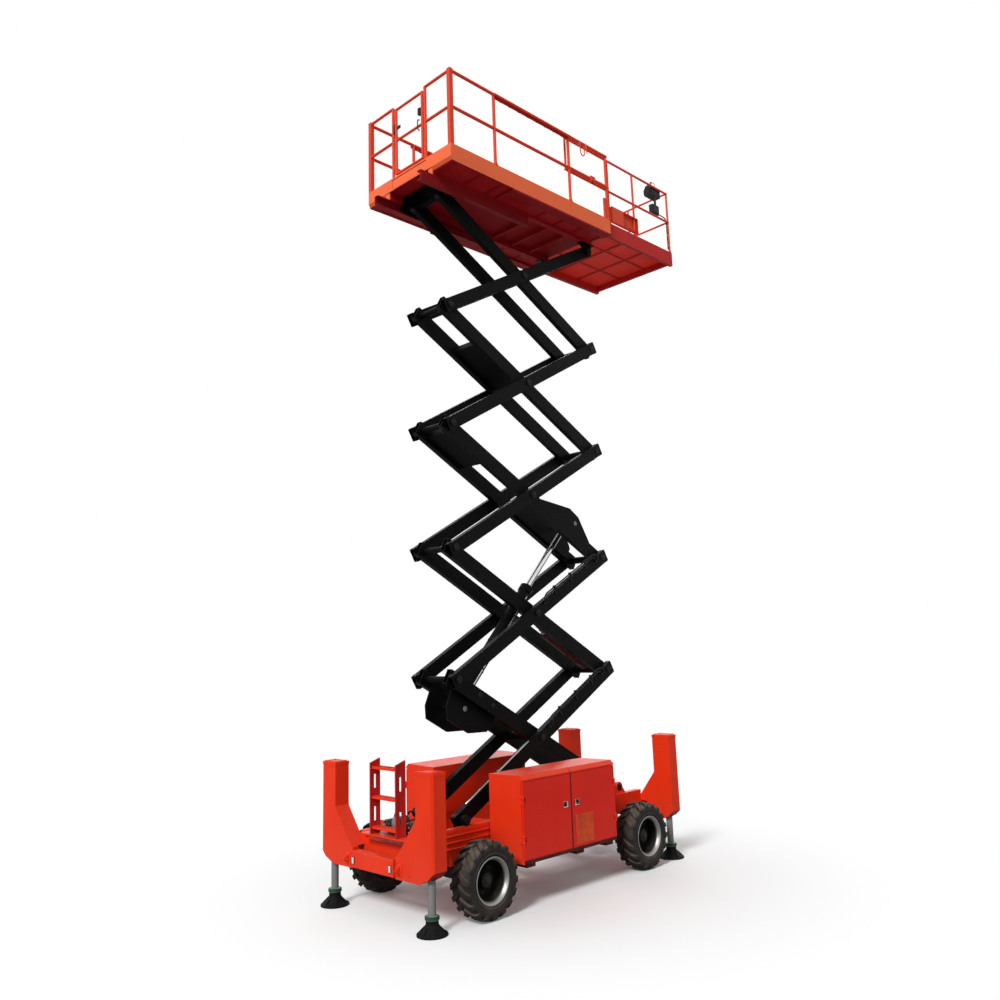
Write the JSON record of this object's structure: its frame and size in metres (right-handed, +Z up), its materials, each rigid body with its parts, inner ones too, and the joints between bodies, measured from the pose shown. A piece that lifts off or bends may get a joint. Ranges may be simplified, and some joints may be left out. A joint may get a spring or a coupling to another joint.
{
  "type": "scissor lift",
  "caption": "Rough-terrain scissor lift on outriggers: wheeled chassis, stacked scissor arms with a lift cylinder, and a railed platform with a roll-out deck.",
  "frame": {"origin": "on the ground, in the middle of the machine's length and width", "axes": "+X towards the roll-out end of the platform, +Y to the machine's left, +Z up"},
  "size_m": [5.7639, 2.2, 10.644],
  "materials": {
    "chassis_red": "gloss",
    "platform_orange": "satin",
    "arm_black": "satin",
    "tyre_rubber": "matte",
    "rim_steel": "satin",
    "bright_steel": "satin",
    "pad_black": "matte",
    "engine_grey": "matte",
    "control_grey": "matte"
  },
  "bodies": {
    "chassis": {"chassis_frame": "chassis_red", "foot_pivot_shaft": "bright_steel", "rear_beam": "chassis_red", "front_beam": "chassis_red", "tie_down_lugs": "chassis_red", "entry_ladder": "chassis_red", "pump_set": "engine_grey", "rear_axle": "arm_black", "front_axle": "arm_black", "side_box_left": "chassis_red", "side_box_right": "chassis_red", "engine_block": "engine_grey", "oil_tank": "arm_black", "outrigger_post_rear_left": "chassis_red", "outrigger_post_rear_right": "chassis_red", "outrigger_post_front_left": "chassis_red", "outrigger_post_front_right": "chassis_red"},
    "leg_rear_left": {"outrigger_leg_rear_left": "bright_steel"},
    "wheel_rear_left": {"rim_rear_left": "rim_steel", "tyre_rear_left": "tyre_rubber"},
    "door_left_rear": {"box_door_left_rear": "chassis_red"},
    "leg_rear_right": {"outrigger_leg_rear_right": "bright_steel"},
    "wheel_rear_right": {"rim_rear_right": "rim_steel", "tyre_rear_right": "tyre_rubber"},
    "door_right_rear": {"box_door_right_rear": "chassis_red"},
    "leg_front_left": {"outrigger_leg_front_left": "bright_steel"},
    "wheel_front_left": {"rim_front_left": "rim_steel", "tyre_front_left": "tyre_rubber"},
    "door_left_front": {"box_door_left_front": "chassis_red"},
    "leg_front_right": {"outrigger_leg_front_right": "bright_steel"},
    "wheel_front_right": {"rim_front_right": "rim_steel", "tyre_front_right": "tyre_rubber"},
    "door_right_front": {"box_door_right_front": "chassis_red"},
    "knuckle_left": {"steering_knuckle_left": "arm_black"},
    "knuckle_right": {"steering_knuckle_right": "arm_black"},
    "outer_1": {"outer_arms_1": "arm_black"},
    "inner_1": {"inner_arms_1": "arm_black"},
    "outer_2": {"outer_arms_2": "arm_black"},
    "inner_2": {"inner_arms_2": "arm_black", "maintenance_prop": "chassis_red"},
    "outer_3": {"outer_arms_3": "arm_black"},
    "inner_3": {"inner_arms_3": "arm_black"},
    "outer_4": {"outer_arms_4": "arm_black"},
    "inner_4": {"inner_arms_4": "arm_black"},
    "outer_5": {"outer_arms_5": "arm_black"},
    "inner_5": {"inner_arms_5": "arm_black"},
    "barrel": {"lift_cylinder_barrel": "arm_black"},
    "rod": {"lift_cylinder_rod": "bright_steel"},
    "carriage": {"platform_carriage": "arm_black"},
    "platform": {"platform_deck": "platform_orange", "platform_slide_channels": "platform_orange", "platform_front_pivots": "arm_black", "guard_rails_left": "platform_orange", "guard_rails_right": "platform_orange", "rear_rails": "platform_orange"},
    "gate": {"rear_gate": "platform_orange"},
    "extension": {"extension_deck": "platform_orange", "extension_rails": "platform_orange", "extension_front_rails": "platform_orange", "control_box": "control_grey"}
  },
  "joints": [
    {"name": "lift", "type": "hinge", "parent": "chassis", "child": "inner_1", "pos_m": [1.132, 0, 0.966], "axis": [0, 1, 0], "range_deg": [-25.5, 31]},
    {"name": "outer_1_centre", "type": "hinge", "parent": "inner_1", "child": "outer_1", "pos_m": [-0.33274, 0, 1.7785], "axis": [0, 1, 0], "range_deg": [-62.5, 51.5]},
    {"name": "outer_2_rear", "type": "hinge", "parent": "inner_1", "child": "outer_2", "pos_m": [-1.79748, 0, 2.591], "axis": [0, 1, 0], "range_deg": [-62.5, 51.5]},
    {"name": "inner_2_centre", "type": "hinge", "parent": "outer_2", "child": "inner_2", "pos_m": [-0.33274, 0, 3.4035], "axis": [0, 1, 0], "range_deg": [-51.5, 62.5]},
    {"name": "inner_3_front", "type": "hinge", "parent": "outer_2", "child": "inner_3", "pos_m": [1.132, 0, 4.216], "axis": [0, 1, 0], "range_deg": [-51.5, 62.5]},
    {"name": "outer_3_centre", "type": "hinge", "parent": "inner_3", "child": "outer_3", "pos_m": [-0.33274, 0, 5.0285], "axis": [0, 1, 0], "range_deg": [-62.5, 51.5]},
    {"name": "outer_4_rear", "type": "hinge", "parent": "inner_3", "child": "outer_4", "pos_m": [-1.79748, 0, 5.841], "axis": [0, 1, 0], "range_deg": [-62.5, 51.5]},
    {"name": "inner_4_centre", "type": "hinge", "parent": "outer_4", "child": "inner_4", "pos_m": [-0.33274, 0, 6.6535], "axis": [0, 1, 0], "range_deg": [-51.5, 62.5]},
    {"name": "inner_5_front", "type": "hinge", "parent": "outer_4", "child": "inner_5", "pos_m": [1.132, 0, 7.466], "axis": [0, 1, 0], "range_deg": [-51.5, 62.5]},
    {"name": "outer_5_centre", "type": "hinge", "parent": "inner_5", "child": "outer_5", "pos_m": [-0.33274, 0, 8.2785], "axis": [0, 1, 0], "range_deg": [-62.5, 51.5]},
    {"name": "platform_front", "type": "hinge", "parent": "outer_5", "child": "platform", "pos_m": [1.132, 0, 9.091], "axis": [0, 1, 0], "range_deg": [-26, 31.5]},
    {"name": "carriage_pin", "type": "hinge", "parent": "inner_5", "child": "carriage", "pos_m": [-1.79748, 0, 9.091], "axis": [0, 1, 0], "range_deg": [-31.5, 26]},
    {"name": "cylinder_foot", "type": "hinge", "parent": "inner_1", "child": "barrel", "pos_m": [-1.54471, 0, 2.22208], "axis": [0, 1, 0], "range_deg": [-57.85, 47.68]},
    {"name": "cylinder_rod", "type": "slide", "parent": "barrel", "child": "rod", "axis": [0.6765, 0, 0.7365], "range_m": [-0.8338, 1.0125]},
    {"name": "steer_left", "type": "hinge", "parent": "chassis", "child": "knuckle_left", "pos_m": [0.934, 0.735, 0.42], "axis": [0, 0, 1], "range_deg": [-30, 30]},
    {"name": "steer_right", "type": "hinge", "parent": "chassis", "child": "knuckle_right", "pos_m": [0.934, -0.735, 0.42], "axis": [0, 0, 1], "range_deg": [-30, 30]},
    {"name": "wheel_rear_left_spin", "type": "hinge", "parent": "chassis", "child": "wheel_rear_left", "pos_m": [-1.98, 0.95, 0.42], "axis": [0, 1, 0], "continuous": true},
    {"name": "leg_rear_left_slide", "type": "slide", "parent": "chassis", "child": "leg_rear_left", "axis": [0, 0, 1], "range_m": [-0.25, 0.35]},
    {"name": "wheel_rear_right_spin", "type": "hinge", "parent": "chassis", "child": "wheel_rear_right", "pos_m": [-1.98, -0.95, 0.42], "axis": [0, 1, 0], "continuous": true},
    {"name": "leg_rear_right_slide", "type": "slide", "parent": "chassis", "child": "leg_rear_right", "axis": [0, 0, 1], "range_m": [-0.25, 0.35]},
    {"name": "wheel_front_left_spin", "type": "hinge", "parent": "knuckle_left", "child": "wheel_front_left", "pos_m": [0.934, 0.95, 0.42], "axis": [0, 1, 0], "continuous": true},
    {"name": "leg_front_left_slide", "type": "slide", "parent": "chassis", "child": "leg_front_left", "axis": [0, 0, 1], "range_m": [-0.25, 0.35]},
    {"name": "wheel_front_right_spin", "type": "hinge", "parent": "knuckle_right", "child": "wheel_front_right", "pos_m": [0.934, -0.95, 0.42], "axis": [0, 1, 0], "continuous": true},
    {"name": "leg_front_right_slide", "type": "slide", "parent": "chassis", "child": "leg_front_right", "axis": [0, 0, 1], "range_m": [-0.25, 0.35]},
    {"name": "door_left_rear_hinge", "type": "hinge", "parent": "chassis", "child": "door_left_rear", "pos_m": [-1.457, 1.084, 0.536], "axis": [0, 0, 1], "range_deg": [0, 105]},
    {"name": "door_left_front_hinge", "type": "hinge", "parent": "chassis", "child": "door_left_front", "pos_m": [0.248, 1.084, 0.536], "axis": [0, 0, -1], "range_deg": [0, 105]},
    {"name": "door_right_rear_hinge", "type": "hinge", "parent": "chassis", "child": "door_right_rear", "pos_m": [-1.457, -1.084, 0.536], "axis": [0, 0, -1], "range_deg": [0, 105]},
    {"name": "door_right_front_hinge", "type": "hinge", "parent": "chassis", "child": "door_right_front", "pos_m": [0.248, -1.084, 0.536], "axis": [0, 0, 1], "range_deg": [0, 105]},
    {"name": "gate_hinge", "type": "hinge", "parent": "platform", "child": "gate", "pos_m": [-2.163, 0.297, 9.564], "axis": [0, 0, 1], "range_deg": [0, 95]},
    {"name": "extension_slide", "type": "slide", "parent": "platform", "child": "extension", "axis": [1, 0, 0], "range_m": [-1.7, 0]}
  ],
  "couplings": [
    {"joint": "outer_1_centre", "follows": "lift", "ratio": -2},
    {"joint": "outer_2_rear", "follows": "lift", "ratio": -2},
    {"joint": "inner_2_centre", "follows": "lift", "ratio": 2},
    {"joint": "inner_3_front", "follows": "lift", "ratio": 2},
    {"joint": "outer_3_centre", "follows": "lift", "ratio": -2},
    {"joint": "outer_4_rear", "follows": "lift", "ratio": -2},
    {"joint": "inner_4_centre", "follows": "lift", "ratio": 2},
    {"joint": "inner_5_front", "follows": "lift", "ratio": 2},
    {"joint": "outer_5_centre", "follows": "lift", "ratio": -2},
    {"joint": "platform_front", "follows": "lift", "ratio": 1},
    {"joint": "carriage_pin", "follows": "lift", "ratio": -1},
    {"joint": "cylinder_foot", "follows": "lift", "ratio": -1.85},
    {"joint": "cylinder_rod", "follows": "lift", "m_per_rad": 1.8621},
    {"joint": "steer_right", "follows": "steer_left", "ratio": 1}
  ]
}
